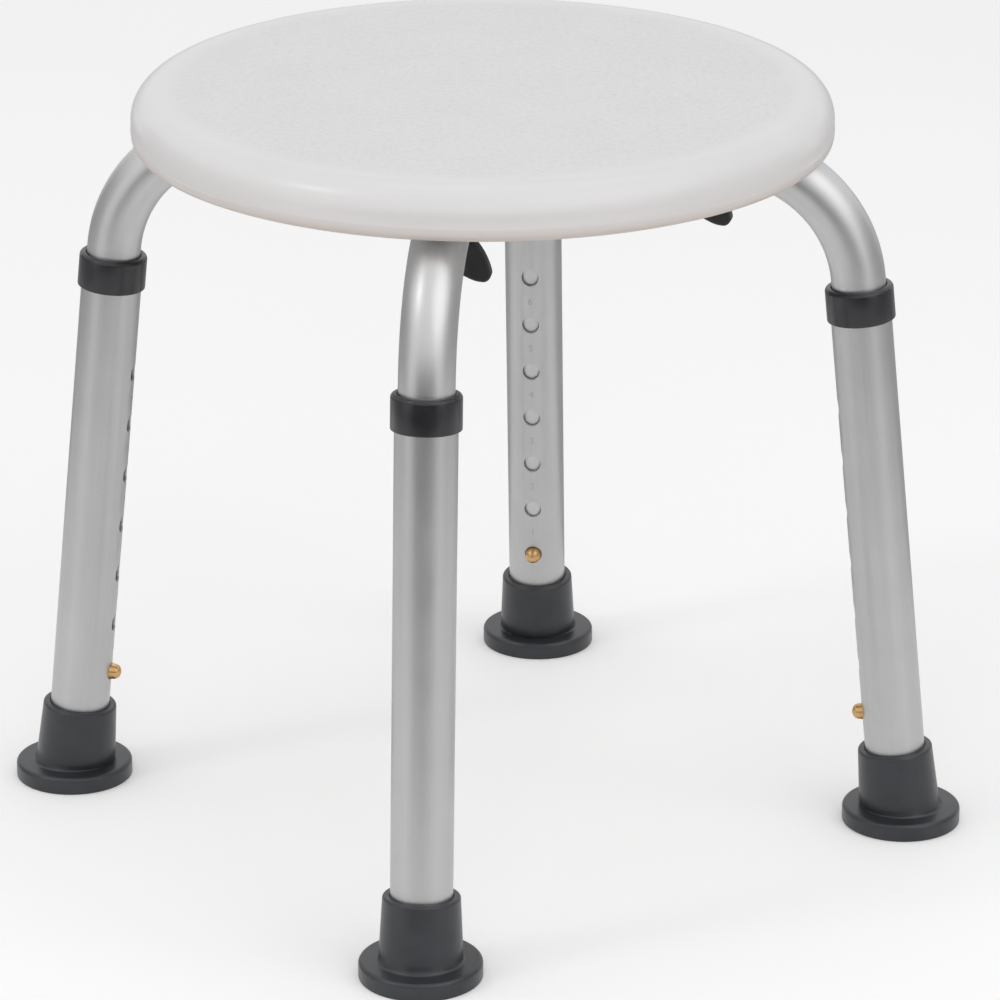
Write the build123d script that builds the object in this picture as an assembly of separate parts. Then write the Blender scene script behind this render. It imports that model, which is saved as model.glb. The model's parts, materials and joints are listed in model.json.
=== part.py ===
# Round shower stool: a hollow moulded seat on four telescoping aluminium legs.
# Millimetres, +Z up, origin on the floor under the middle of the seat.
# A leg is modelled once, towards +X, and turned about Z for the other three.
from build123d import *
import os
from math import cos, radians, sin, sqrt

# Seat
SEAT_DIAMETER = 320.0
SEAT_THICKNESS = 24.4
SEAT_TOP_ROUND = 13.3
SEAT_BOTTOM_ROUND = 4.7
SEAT_WALL = 3.0
TUBE_NEST_DEPTH = 9.0          # how far the tubes lie inside the underside of the seat
GROOVE_CLEARANCE = 0.3
BOSS_RADIUS = 10.0             # solid pillar around each threaded insert
DIMPLE_RADIUS = 11.0           # conical dimples tie the underside to the top skin
DIMPLE_TIP_RADIUS = 6.0
DIMPLE_ROOF = 4.0
DIMPLES = ((70.0, 45.0), (124.0, 29.0), (124.0, 61.0))   # radius and angle, in each quarter

# Legs
FOOT_OVERHANG = 39.0           # middle of a foot, outwards from the rim of the seat
LEG_SPLAY = 5.6                # degrees from upright
UPPER_TUBE_DIAMETER = 25.0
UPPER_TUBE_WALL = 1.2
BEND_RADIUS = 63.0
RUN_END_RADIUS = 34.0          # inner ends of the runs, from the middle of the seat
TELESCOPE_GAP = 0.2
LOWER_TUBE_WALL = 1.3
LOWER_TUBE_LENGTH = 252.0
PLUG_LENGTH = 12.0
PLUG_WALL = 2.0
PLUG_CAP = 2.0
PRESS_GAP = 0.05               # between pieces that are pushed or moulded together

# Height adjustment
HOLE_PITCH = 25.4
FIRST_HOLE = 44.0              # from the lower end of the lower tube
MIN_INSERTION = 75.0           # of the upper tube in the lower one, at full height
BUTTON_DIAMETER = 7.9
BUTTON_HOLE_GAP = 0.2
BUTTON_PROTRUSION = 4.9
BUTTON_ROUND = 2.4
BUTTON_TO_TUBE_END = 22.0
RIVET_DIAMETER = 3.0
RIVET_HEAD_DIAMETER = 5.2
RIVET_HEAD_HEIGHT = 1.0
SPRING_THICKNESS = 0.8
SPRING_WIDTH = 8.0
SPRING_FLAT = 12.0             # straight length each side of the button
SPRING_REACH = 40.0            # from the button to the fold
SPRING_FOLD_RADIUS = 3.0
SPRING_TUBE_GAP = 0.3

# Collars
COLLAR_HEIGHT = 16.0
COLLAR_WALL = 1.75
COLLAR_LIP = 2.2
COLLAR_TO_BEND = 2.8
COLLAR_OUTER_ROUND = 2.0
COLLAR_INNER_ROUND = 0.8

# Feet
FOOT_HEIGHT = 37.6
FOOT_SOLE = 10.0
FOOT_FLANGE_DIAMETER = 55.5
FOOT_FLANGE_HEIGHT = 8.2
FOOT_FLANGE_ROUND = 2.0
FOOT_TOP_WALL = 3.4
FOOT_BASE_WALL = 5.2
FOOT_TOP_ROUND = 1.4
FOOT_FILLET = 1.5
FOOT_MOUTH = 1.2               # countersink where the tube goes in
FOOT_CONE_START = 3.0
FOOT_WASHER_THICKNESS = 1.5
TREAD_DEPTH = 1.2
TREAD_WIDTH = 2.5
TREAD_RADII = (9.0, 14.5, 20.0)

# Wing screws
SCREW_DIAMETER = 6.0
SCREW_HOLE_GAP = 0.3
INSERT_DIAMETER = 10.0
INSERT_LENGTH = 9.0
SCREW_BEFORE_BEND = 13.0       # outer screws, from the inner end of the bend
SCREW_BEFORE_END = 13.0        # inner screws, from the end of the run
SADDLE_DIAMETER = 16.0
SADDLE_THICKNESS = 2.0
SADDLE_LIP = 2.4
SADDLE_GAP = 0.3
HEAD_HEIGHT = 18.2
HEAD_HUB_DIAMETER = 15.0
HEAD_HUB_HEIGHT = 13.0
HEAD_SOCKET = 10.0
WING_TOP_HALF_SPAN = 10.4
WING_HALF_SPAN = 17.7
WING_BOW = 15.2                # half span halfway down the bowed side
WING_LOBE = 13.0               # lowest point of a wing, from the axis
WING_SIDE_DROP = 14.6          # widest point, below the top of the head
WING_DIP_DROP = 14.2           # dip between the wings, below the top of the head
WING_CORNER = 1.0              # how far the corner is cut back from the widest and lowest lines
WING_THICKNESS = 7.5
WING_EDGE_ROUND = 1.2
WING_TURN = {                  # how far each head is turned from its leg's direction
    "front_outer": 90.0, "right_outer": -6.0, "back_outer": 70.0, "left_outer": 25.0,
    "front_inner": 5.0, "right_inner": 35.0, "back_inner": -20.0, "left_inner": 80.0,
}

SIDES = {"right": 0.0, "back": 90.0, "left": 180.0, "front": 270.0}
STAND = (Align.CENTER, Align.CENTER, Align.MIN)

# Sizes that follow from the ones above
splay = radians(LEG_SPLAY)
upper_radius = UPPER_TUBE_DIAMETER / 2
upper_bore = upper_radius - UPPER_TUBE_WALL
lower_bore = upper_radius + TELESCOPE_GAP
lower_radius = lower_bore + LOWER_TUBE_WALL
foot_circle = SEAT_DIAMETER / 2 + FOOT_OVERHANG
hole_radius = BUTTON_DIAMETER / 2 + BUTTON_HOLE_GAP
screw_radius = SCREW_DIAMETER / 2
screw_hole_radius = screw_radius + SCREW_HOLE_GAP

# Heights along a leg's own axis, from the floor
lower_tube_bottom = FOOT_SOLE + FOOT_WASHER_THICKNESS
lower_tube_top = lower_tube_bottom + LOWER_TUBE_LENGTH
collar_top = lower_tube_top + COLLAR_LIP
bend_start = collar_top + COLLAR_TO_BEND
button_height = lower_tube_bottom + FIRST_HOLE
upper_tube_bottom = button_height - BUTTON_TO_TUBE_END
hole_steps = int((lower_tube_top - upper_tube_bottom - MIN_INSERTION) / HOLE_PITCH)

# Heights above the floor, and distances from the middle of the seat
run_height = bend_start * cos(splay) + BEND_RADIUS * (1 - sin(splay))
bend_end_radius = foot_circle - bend_start * sin(splay) - BEND_RADIUS * cos(splay)
seat_bottom = run_height + upper_radius - TUBE_NEST_DEPTH
seat_top = seat_bottom + SEAT_THICKNESS
groove_radius = upper_radius + GROOVE_CLEARANCE
groove_roof = run_height + groove_radius
groove_end_radius = RUN_END_RADIUS - PLUG_CAP - GROOVE_CLEARANCE
screw_places = {
    "outer": bend_end_radius - SCREW_BEFORE_BEND,
    "inner": RUN_END_RADIUS + SCREW_BEFORE_END,
}
insert_bottom = groove_roof
insert_top = insert_bottom + INSERT_LENGTH
saddle_bottom = run_height - upper_radius - SADDLE_GAP - SADDLE_THICKNESS

# The leg's own frame: Z up along the leg, X square to it and towards the middle
leg_frame = Plane(
    origin=(foot_circle, 0, 0),
    x_dir=(-cos(splay), 0, -sin(splay)),
    z_dir=(-sin(splay), 0, cos(splay)),
)


def disc(radius, bottom, top):
    """An upright cylinder between two heights."""
    return Pos(0, 0, bottom) * Cylinder(radius, top - bottom, align=STAND)


def ring(outer_radius, inner_radius, bottom, top):
    """An upright ring between two heights."""
    return disc(outer_radius, bottom, top) - disc(inner_radius, bottom, top)


def towards_middle(radius, start, end, height):
    """A cylinder square to the leg, in the leg's frame."""
    rod = Cylinder(radius, end - start, align=STAND)
    return Pos(start, 0, height) * Rot(0, 90, 0) * rod


def axis_point(height):
    """A point on the leg's axis."""
    return Vector(foot_circle - height * sin(splay), 0, height * cos(splay))


def leg_sweep(radius, from_height, run_end):
    """A round bar along the leg: up the straight part, round the bend, along the run."""
    start = axis_point(from_height)
    bend_in = axis_point(bend_start)
    middle_angle = (splay + radians(90)) / 2
    bend_middle = Vector(
        bend_end_radius + BEND_RADIUS * cos(middle_angle),
        0,
        run_height - BEND_RADIUS + BEND_RADIUS * sin(middle_angle),
    )
    bend_out = Vector(bend_end_radius, 0, run_height)
    path = Line(start, bend_in)
    path += ThreePointArc(bend_in, bend_middle, bend_out)
    path += Line(bend_out, Vector(run_end, 0, run_height))
    section = Plane(origin=start, z_dir=bend_in - start) * Circle(radius)
    return sweep(section, path=path)


def rounded_disc(radius, bottom, top, bottom_round, top_round):
    """A disc with its two edges rounded."""
    body = disc(radius, bottom, top)
    rims = body.edges().group_by(Axis.Z)
    body = fillet(rims[-1], top_round)
    return fillet(body.edges().group_by(Axis.Z)[0], bottom_round)


def around(part):
    """The four copies of something that every leg has."""
    return [Rot(0, 0, angle) * part for angle in SIDES.values()]


def dimple(extra):
    """A cone in the underside, or with extra, the wall around it."""
    tip = seat_top - DIMPLE_ROOF + extra
    cone = Cone(DIMPLE_RADIUS + extra, DIMPLE_TIP_RADIUS + extra, tip - seat_bottom, align=STAND)
    return [
        Rot(0, 0, angle) * Pos(distance, 0, seat_bottom) * cone
        for distance, angle in DIMPLES
    ]


def make_seat():
    shell = rounded_disc(
        SEAT_DIAMETER / 2, seat_bottom, seat_top, SEAT_BOTTOM_ROUND, SEAT_TOP_ROUND
    )
    hollow = rounded_disc(
        SEAT_DIAMETER / 2 - SEAT_WALL,
        seat_bottom + SEAT_WALL,
        seat_top - SEAT_WALL,
        SEAT_BOTTOM_ROUND - SEAT_WALL,
        SEAT_TOP_ROUND - SEAT_WALL,
    )
    grooves = [leg_sweep(groove_radius, bend_start - COLLAR_TO_BEND, groove_end_radius)]
    walls = [
        leg_sweep(groove_radius + SEAT_WALL, bend_start - COLLAR_TO_BEND, groove_end_radius - SEAT_WALL)
    ]
    for distance in screw_places.values():
        pocket = disc(INSERT_DIAMETER / 2 + PRESS_GAP, run_height, insert_top + PRESS_GAP)
        grooves.append(Pos(distance, 0, 0) * pocket)
        walls.append(Pos(distance, 0, 0) * disc(BOSS_RADIUS, run_height, seat_top))
    grooves += dimple(0)
    walls += dimple(SEAT_WALL)
    for cut in walls:
        hollow -= around(cut)
    for cut in grooves:
        shell -= around(cut)
    return shell - hollow


def make_inserts():
    insert = ring(INSERT_DIAMETER / 2, screw_radius + PRESS_GAP, insert_bottom, insert_top)
    inserts = []
    for distance in screw_places.values():
        inserts += around(Pos(distance, 0, 0) * insert)
    return Compound(children=inserts)


def make_upper_tube():
    tube = leg_sweep(upper_radius, upper_tube_bottom, RUN_END_RADIUS)
    tube -= leg_sweep(upper_bore, upper_tube_bottom, RUN_END_RADIUS)
    tube -= leg_frame * towards_middle(hole_radius, 0, lower_radius, button_height)
    for distance in screw_places.values():
        hole = disc(screw_hole_radius, run_height - lower_radius, run_height + lower_radius)
        tube -= Pos(distance, 0, 0) * hole
    return tube


def make_tube_plug():
    cap_end = RUN_END_RADIUS - PLUG_CAP
    cup_radius = upper_bore - PRESS_GAP
    plug = disc(upper_radius, cap_end, RUN_END_RADIUS)
    plug += disc(cup_radius, cap_end, RUN_END_RADIUS + PLUG_LENGTH)
    plug -= disc(cup_radius - PLUG_WALL, RUN_END_RADIUS, RUN_END_RADIUS + PLUG_LENGTH)
    for distance in screw_places.values():
        if distance < RUN_END_RADIUS + PLUG_LENGTH + screw_hole_radius:
            plug -= Pos(0, 0, distance) * Rot(0, 90, 0) * Cylinder(screw_hole_radius, SEAT_DIAMETER)
    return Pos(0, 0, run_height) * Rot(0, 90, 0) * plug


def make_lower_tube():
    tube = ring(lower_radius, lower_bore, lower_tube_bottom, lower_tube_top)
    for step in range(hole_steps + 1):
        height = button_height + step * HOLE_PITCH
        tube -= towards_middle(hole_radius, 0, lower_radius + LOWER_TUBE_WALL, height)
    return leg_frame * tube


def make_collar():
    sleeve_radius = lower_radius + PRESS_GAP
    collar = disc(lower_radius + COLLAR_WALL, collar_top - COLLAR_HEIGHT, collar_top)
    collar = fillet(collar.edges().group_by(Axis.Z)[-1], COLLAR_OUTER_ROUND)
    collar -= disc(sleeve_radius, collar_top - COLLAR_HEIGHT, lower_tube_top)
    collar -= disc(lower_bore, lower_tube_top, collar_top)
    mouth = collar.edges().group_by(Axis.Z)[-1].sort_by(SortBy.LENGTH)[0]
    return leg_frame * fillet(mouth, COLLAR_INNER_ROUND)


def make_foot():
    flange = disc(FOOT_FLANGE_DIAMETER / 2, 0, FOOT_FLANGE_HEIGHT)
    flange = fillet(flange.edges().group_by(Axis.Z)[-1], FOOT_FLANGE_ROUND)
    flange = Pos(foot_circle, 0, 0) * flange
    socket = Cone(
        lower_radius + FOOT_BASE_WALL,
        lower_radius + FOOT_TOP_WALL,
        FOOT_HEIGHT - FOOT_CONE_START,
        align=STAND,
    )
    socket = fillet(socket.edges().group_by(Axis.Z)[-1], FOOT_TOP_ROUND)
    socket = leg_frame * Pos(0, 0, FOOT_CONE_START) * socket
    foot = flange + socket
    foot = fillet(new_edges(flange, socket, combined=foot), FOOT_FILLET)
    bore = lower_radius + PRESS_GAP
    foot -= leg_frame * disc(bore, FOOT_SOLE, FOOT_HEIGHT + FOOT_SOLE)
    mouth = Cone(bore, bore + FOOT_MOUTH, FOOT_MOUTH, align=STAND)
    foot -= leg_frame * Pos(0, 0, FOOT_HEIGHT - FOOT_MOUTH) * mouth
    for radius in TREAD_RADII:
        foot -= Pos(foot_circle, 0, 0) * ring(radius + TREAD_WIDTH, radius, 0, TREAD_DEPTH)
    return foot


def make_foot_washer():
    return leg_frame * disc(lower_radius - PRESS_GAP, FOOT_SOLE, lower_tube_bottom)


def spring_face():
    """How far the flat of the button spring lies from the leg's axis."""
    half = SPRING_WIDTH / 2
    return sqrt(upper_bore ** 2 - half ** 2) - SPRING_TUBE_GAP


def make_button():
    face = spring_face()
    tip = lower_radius + BUTTON_PROTRUSION
    button = Cylinder(BUTTON_DIAMETER / 2, tip - face, align=STAND)
    button = fillet(button.edges().group_by(Axis.Z)[-1], BUTTON_ROUND)
    rivet_back = -SPRING_THICKNESS - RIVET_HEAD_HEIGHT
    button += disc(RIVET_DIAMETER / 2, rivet_back, 0)
    button += disc(RIVET_HEAD_DIAMETER / 2, rivet_back, -SPRING_THICKNESS)
    return leg_frame * Pos(face, 0, button_height) * Rot(0, 90, 0) * button


def make_button_spring():
    flat = spring_face() - SPRING_THICKNESS / 2
    path = FilletPolyline(
        (flat, 0, button_height - SPRING_FLAT),
        (flat, 0, button_height + SPRING_FLAT),
        (0, 0, button_height + SPRING_REACH),
        (-flat, 0, button_height + SPRING_FLAT),
        (-flat, 0, button_height - SPRING_FLAT),
        radius=SPRING_FOLD_RADIUS,
    )
    start = Plane(origin=path @ 0, x_dir=(1, 0, 0), z_dir=path % 0)
    leaf = sweep(start * Rectangle(SPRING_THICKNESS, SPRING_WIDTH), path=path)
    leaf -= towards_middle(RIVET_DIAMETER / 2 + PRESS_GAP, 0, upper_radius, button_height)
    return leg_frame * leaf


def make_saddle_washer():
    washer = disc(SADDLE_DIAMETER / 2, saddle_bottom, saddle_bottom + SADDLE_THICKNESS + SADDLE_LIP)
    tube = Rot(0, 90, 0) * Cylinder(upper_radius + SADDLE_GAP, SADDLE_DIAMETER + SADDLE_LIP)
    washer -= Pos(0, 0, run_height) * tube
    return washer - disc(screw_hole_radius, saddle_bottom, run_height)


def make_wing_head():
    """Butterfly-shaped head: two rounded wings on a short hub, hanging under the saddle."""
    shoulder = (WING_TOP_HALF_SPAN, 0)
    side = (WING_HALF_SPAN, -WING_SIDE_DROP)
    corner = (WING_HALF_SPAN - WING_CORNER, -HEAD_HEIGHT + WING_CORNER)
    lobe = (WING_LOBE, -HEAD_HEIGHT)
    dip = (0, -WING_DIP_DROP)
    outline = Line((0, 0), shoulder)
    outline += ThreePointArc(shoulder, (WING_BOW, -WING_SIDE_DROP / 2), side)
    outline += ThreePointArc(side, corner, lobe)
    outline += Spline(lobe, dip, tangents=((-1, 0), (-1, 0)))
    outline += Line(dip, (0, 0))
    half = Plane.XZ * make_face(outline)
    wing = extrude(half, WING_THICKNESS / 2, both=True)
    wings = wing + mirror(wing, Plane.YZ)
    faces = wings.faces().sort_by(Axis.Y)
    wings = fillet(faces[0].edges() + faces[-1].edges(), WING_EDGE_ROUND)
    head = wings + disc(HEAD_HUB_DIAMETER / 2, -HEAD_HUB_HEIGHT, 0)
    head -= disc(screw_radius + PRESS_GAP, -HEAD_SOCKET, 0)
    return Pos(0, 0, saddle_bottom) * head


def make_screw_stud():
    return disc(screw_radius, saddle_bottom - HEAD_SOCKET, insert_top)


def make_leg(side):
    """All the pieces of one leg, by name."""
    pieces = {
        "upper_tube": make_upper_tube(),
        "tube_plug": make_tube_plug(),
        "lower_tube": make_lower_tube(),
        "collar": make_collar(),
        "foot": make_foot(),
        "foot_washer": make_foot_washer(),
        "snap_button": make_button(),
        "button_spring": make_button_spring(),
    }
    for place, distance in screw_places.items():
        turned = Pos(distance, 0, 0) * Rot(0, 0, WING_TURN[f"{side}_{place}"])
        pieces[f"{place}_saddle_washer"] = Pos(distance, 0, 0) * make_saddle_washer()
        pieces[f"{place}_wing_head"] = turned * make_wing_head()
        pieces[f"{place}_screw_stud"] = turned * make_screw_stud()
    return {f"{side}_{name}": Rot(0, 0, SIDES[side]) * piece for name, piece in pieces.items()}


os.makedirs("parts", exist_ok=True)
stool = {"seat": make_seat(), "threaded_inserts": make_inserts()}
for side in SIDES:
    stool.update(make_leg(side))
for name, piece in stool.items():
    export_step(piece, f"parts/{name}.step")
print(f"{len(stool)} nodes, seat top {seat_top:.1f} mm, {hole_steps + 1} holes a leg")
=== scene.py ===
"""Looks of a round shower stool: moulded seat, satin tubes, rubber feet and brass buttons.

Metres, +Z up, origin on the floor under the middle of the seat. Each piece is made where its
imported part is, with its place in its mesh.
"""

import json
from math import asin, atan2, cos, degrees, pi, radians, sin, sqrt, tau

import bmesh
import bpy
from mathutils import Matrix, Vector


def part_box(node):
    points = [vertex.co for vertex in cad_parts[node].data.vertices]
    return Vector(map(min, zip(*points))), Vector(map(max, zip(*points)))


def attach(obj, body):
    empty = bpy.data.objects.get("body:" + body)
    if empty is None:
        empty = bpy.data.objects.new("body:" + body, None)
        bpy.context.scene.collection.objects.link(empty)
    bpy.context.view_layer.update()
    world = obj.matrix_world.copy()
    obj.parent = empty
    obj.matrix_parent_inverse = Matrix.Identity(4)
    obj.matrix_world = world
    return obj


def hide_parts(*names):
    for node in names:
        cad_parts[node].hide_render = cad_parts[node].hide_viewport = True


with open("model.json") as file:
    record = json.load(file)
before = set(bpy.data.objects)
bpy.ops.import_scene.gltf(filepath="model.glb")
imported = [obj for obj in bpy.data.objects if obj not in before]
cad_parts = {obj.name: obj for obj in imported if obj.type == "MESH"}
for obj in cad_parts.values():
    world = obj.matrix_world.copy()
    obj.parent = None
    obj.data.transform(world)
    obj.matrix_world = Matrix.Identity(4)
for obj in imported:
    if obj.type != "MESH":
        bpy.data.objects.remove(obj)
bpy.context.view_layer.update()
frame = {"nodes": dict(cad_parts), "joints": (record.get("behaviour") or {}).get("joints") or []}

MM = 0.001
SIDES = ("right", "back", "left", "front")
PLACES = ("outer", "inner")

# Seat
SEAT_TOP_ROUND = 13.3 * MM
SEAT_BOTTOM_ROUND = 4.7 * MM
SEAT_TOP_RINGS = (0.85, 0.6, 0.3, 0)   # rings of the flat top, as shares of the seat's radius
SMOOTH_RIM = 12.0 * MM             # how far in from the rim the mould was left smooth
ETCHED_FROM = 26.0 * MM            # and how far in its etched grain is at its full depth
PAINTED_SHADE_END = 4.0 * MM               # the painted shade down the rim ends, palest, this far below the top
PARTING_HEIGHT = 6.4 * MM          # where the two halves of the mould met, above the underside
PARTING_WIDTH = 0.9 * MM
PARTING_FLAT = 0.36 * MM           # width of the flat along the parting line
PARTING_PROUD = 0.16 * MM
GROOVE_RADIUS = 12.8 * MM          # the tubes lie in grooves under the seat
GROOVE_LIP = 2.0 * MM
GROOVE_LIP_START = 268.0           # degrees, where the round of the lip leaves the underside
GROOVE_END = 31.7 * MM             # inner end of a groove, from the middle of the seat
GROOVE_BEND = 70.0                 # degrees of the tube's bend that the groove follows
DIMPLE_RADIUS = 11.0 * MM          # cones that tie the underside to the top skin
DIMPLE_TIP_RADIUS = 6.0 * MM
DIMPLE_LIP = 1.4 * MM
DIMPLE_ROOF = 4.0 * MM             # left over a dimple's tip
DIMPLE_MOUTH = ((1.0, -1.0), (0.8, 0.0), (0.25, 0.35), (0.0, 1.0))   # its rings, out and up, in lips
DIMPLE_TIP = ((0.0, 1.0), (0.3, 0.3), (1.0, 0.0))                    # and in and down
DIMPLES = ((70.0, 45.0), (124.0, 29.0), (124.0, 61.0))   # millimetres and degrees, in each quarter
POCKET_RADIUS = 5.05 * MM          # holds a threaded insert
POCKET_DEPTH = 9.05 * MM

# Tubes, with heights along the leg from the floor
UPPER_RADIUS = 12.5 * MM
UPPER_WALL = 1.2 * MM
BEND_RADIUS = 63.0 * MM
BEND_START = 268.5 * MM
UPPER_END = 33.5 * MM
RUN_END = 34.0 * MM                # inner end of the run, from the middle of the seat
LOWER_RADIUS = 14.0 * MM
LOWER_WALL = 1.3 * MM
LOWER_END = 11.5 * MM
LOWER_TOP = 263.5 * MM
HOLE_RADIUS = 4.15 * MM
HOLE_PITCH = 25.4 * MM
HOLE_COUNT = 7
FIRST_HOLE = 55.5 * MM
HOLE_BREAK = 0.35 * MM             # broken edge of a hole
HOLE_EDGE = ((2.2, 0.0), (1.0, 0.0), (0.3, 0.3), (0.0, 1.0))   # its rings, out and down, in breaks
TUBE_EDGE = 0.3 * MM               # broken edge at the ends of a tube
SCREW_HOLE_RADIUS = 3.3 * MM
NUMBER_HEIGHT = 3.6 * MM
NUMBER_DEPTH = 0.05 * MM
FIGURE_SHARE = 0.7                 # height of a figure, as a share of the size of its type

# Collars and plugs
COLLAR_RADIUS = 15.75 * MM
COLLAR_SLEEVE = 14.05 * MM
COLLAR_MOUTH = 12.7 * MM
COLLAR_HEIGHT = 16.0 * MM
COLLAR_TOP = 265.7 * MM            # along the leg, from the floor
COLLAR_OUTER_ROUND = 2.0 * MM
COLLAR_INNER_ROUND = 0.8 * MM
COLLAR_EDGE = 0.4 * MM
PLUG_CAP = 2.0 * MM
PLUG_ROUND = 1.1 * MM
PLUG_BODY = 11.25 * MM
PLUG_LENGTH = 8.0 * MM

# Feet
FOOT_HEIGHT = 37.6 * MM
FOOT_BORE = 14.05 * MM
FOOT_SOLE = 10.0 * MM
FLANGE_RADIUS = 27.75 * MM
FLANGE_HEIGHT = 8.2 * MM
FLANGE_ROUND = 2.0 * MM
FLANGE_EDGE = 0.7 * MM
CONE_BASE = 19.2 * MM
CONE_BASE_HEIGHT = 3.0 * MM
CONE_TOP = 17.4 * MM
CONE_FILLET = 1.6 * MM
CONE_CLEAR = 4.0 * MM              # height above the flange where the cone leans fully with the leg
CONE_RINGS = (6.0 * MM, 13.0 * MM)   # rings of the plain cone, above that height
LIP_ROUND = 1.4 * MM
FOOT_MOUTH = 0.5 * MM              # countersink at the top of the bore
TREAD_DEPTH = 1.2 * MM
TREAD_WIDTH = 2.5 * MM
TREAD_DRAFT = 0.25 * MM
TREADS = (9.0 * MM, 14.5 * MM, 20.0 * MM)

# Snap buttons
BUTTON_RADIUS = 3.95 * MM
BUTTON_FACE = 10.268 * MM          # where the button meets its spring, from the leg's axis
BUTTON_TIP = 18.9 * MM
BUTTON_ROUND = 3.0 * MM
BUTTON_ROUND_END = 78.0            # degrees of that round, before the crown goes on more flatly
BUTTON_DRAFT = 0.3 * MM
BUTTON_CROWN = 0.3 * MM
CROWN_EDGE = 0.3                   # share of the crown's height that its edge lies below the tip
RIVET_RADIUS = 1.5 * MM
RIVET_HEAD_RADIUS = 2.6 * MM
RIVET_HEAD = 1.0 * MM
SPRING_THICKNESS = 0.8 * MM

# Wing screws
HEAD_HEIGHT = 18.2 * MM
HUB_RADIUS = 7.5 * MM
HUB_HEIGHT = 13.0 * MM
HUB_ROUND = 1.0 * MM
WING_TOP_HALF_SPAN = 10.4 * MM
WING_HALF_SPAN = 17.7 * MM
WING_BOW = 15.2 * MM
WING_LOBE = 13.0 * MM
WING_SIDE_DROP = 14.6 * MM
WING_DIP_DROP = 14.2 * MM
WING_CORNER = 1.0 * MM
WING_THICKNESS = 7.5 * MM
WING_ROUND = 1.2 * MM
HEAD_VOXEL = 0.4 * MM
HEAD_SMOOTHING = 3
WING_TURN = {
    "front_outer": 90.0, "right_outer": -6.0, "back_outer": 70.0, "left_outer": 25.0,
    "front_inner": 5.0, "right_inner": 35.0, "back_inner": -20.0, "left_inner": 80.0,
}
STUD_RADIUS = 3.0 * MM
THREAD_PITCH = 1.0 * MM
THREAD_DEPTH = 0.55 * MM

# Fineness of round shapes
SEAT_SIDES = 256
TUBE_SIDES = 64
FINE_SIDES = 96
SMALL_SIDES = 32
STUD_SIDES = 20
THREAD_ROWS = 5                    # rows of points in a turn of the thread
PATCH_STEPS = 8                    # grid steps along each side of a hole's patch in a tube wall
PATCH_HALF_WIDTH = 7.6 * MM
REST_STEPS = 40                    # grid steps round the rest of that wall
END_ROWS = 8                       # grid rows along each undrilled end
LEG_STEPS = 24                     # of an upper tube's path, up the leg
BEND_STEPS = 36
RUN_STEPS = 10
GROOVE_STEPS = 20                  # of a groove's path, round the bend
FILLET_STEPS = 10
DIP_STEPS = 12
WING_ROUND_STEPS = 3
NUMBER_STEPS = 6                   # in each curve of a figure
WELD = 0.001 * MM                  # points closer than this are one point
SHARP = 40.0                       # degrees between faces, past which an edge stays sharp

# Finishes
NOISE_LOW = 0.3                    # most of a noise's values lie between these
NOISE_HIGH = 0.7
LINE_SCALE = 0.012                 # of a drawn tube's lines along the tube, against across it
MIX_FACTOR = 0                     # inputs of a Mix node that mixes colours
MIX_FIRST = 6
MIX_SECOND = 7

# Camera, from the photograph's viewing angle
CAMERA_PLACE = (328.4 * MM, -2319.6 * MM, 1034.3 * MM)
CAMERA_HEADING = 7.866             # degrees to the left of +Y
CAMERA_TILT = 20.67                # degrees below level
CAMERA_LENS = 192.8                # on the default 36 mm sensor, over the width of the image

# Studio
ROOM_LIGHT = 0.60                  # how brightly the white room lights the stool
FLOOR_LIFT = 0.155                 # how much whiter the floor shows than it is lit, near the stool
FAR_FLOOR_LIFT = 0.40              # and further off, where the softboxes don't reach
FLOOR_NEAR = 1.2
FLOOR_FAR = 3.5
FLOOR_HALF = 12.0
FLOOR_GAP = 0.05 * MM              # keeps the floor clear of the soles
SOFTBOXES = (                      # name, place, width in metres, watts, and whether the tubes mirror it
    ("left_softbox", (-1.95, -0.70, 1.95), 3.2, 9, False),
    ("key_softbox", (-1.50, -0.95, 2.00), 0.4, 3.8, True),
    ("right_softbox", (1.70, -1.10, 1.95), 2.2, 12, True),
    ("top_softbox", (0.20, 0.60, 2.50), 1.6, 4, True),
    ("front_softbox", (0.35, -2.50, 1.30), 1.4, 7, False),
)
CARDS = (                          # name, colours and corners of the cards that the tubes mirror
    ("front_card", ("#171412", "#221E1B"), (
        (-1.1, -0.82, 0.001), (1.4, -0.82, 0.001), (1.4, -1.8, 0.001), (-1.1, -1.8, 0.001),
        (-1.1, -1.8, 0.45), (1.4, -1.8, 0.45),
    )),
    ("back_card", ("#C0C0C0", "#CACACA"), (
        (-1.6, 0.30, 0.001), (1.6, 0.30, 0.001), (1.6, 2.2, 0.001), (-1.6, 2.2, 0.001),
        (-1.6, 2.2, 0.5), (1.6, 2.2, 0.5),
    )),
    ("left_card", ("#BABABA", "#C2C2C2"), (
        (-0.95, 1.5, 0.003), (-0.75, -0.81, 0.003), (-1.8, -0.81, 0.003), (-1.8, 1.5, 0.003),
        (-1.8, 1.5, 0.9), (-1.8, -0.81, 0.9),
    )),
    ("right_card", ("#BABABA", "#C2C2C2"), (
        (0.8, -0.81, 0.003), (1.0, 1.5, 0.003), (1.85, 1.5, 0.003), (1.85, -0.81, 0.003),
        (1.85, -0.81, 0.9), (1.85, 1.5, 0.9),
    )),
)

# Places that follow from the frame
seat_low, seat_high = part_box("seat")
seat_radius = (seat_high.x - seat_low.x) / 2
seat_bottom = seat_low.z
seat_top = seat_high.z
joints = {joint["name"]: joint for joint in frame["joints"]}
plug_low, plug_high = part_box("right_tube_plug")
run_height = (plug_low.z + plug_high.z) / 2


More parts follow.
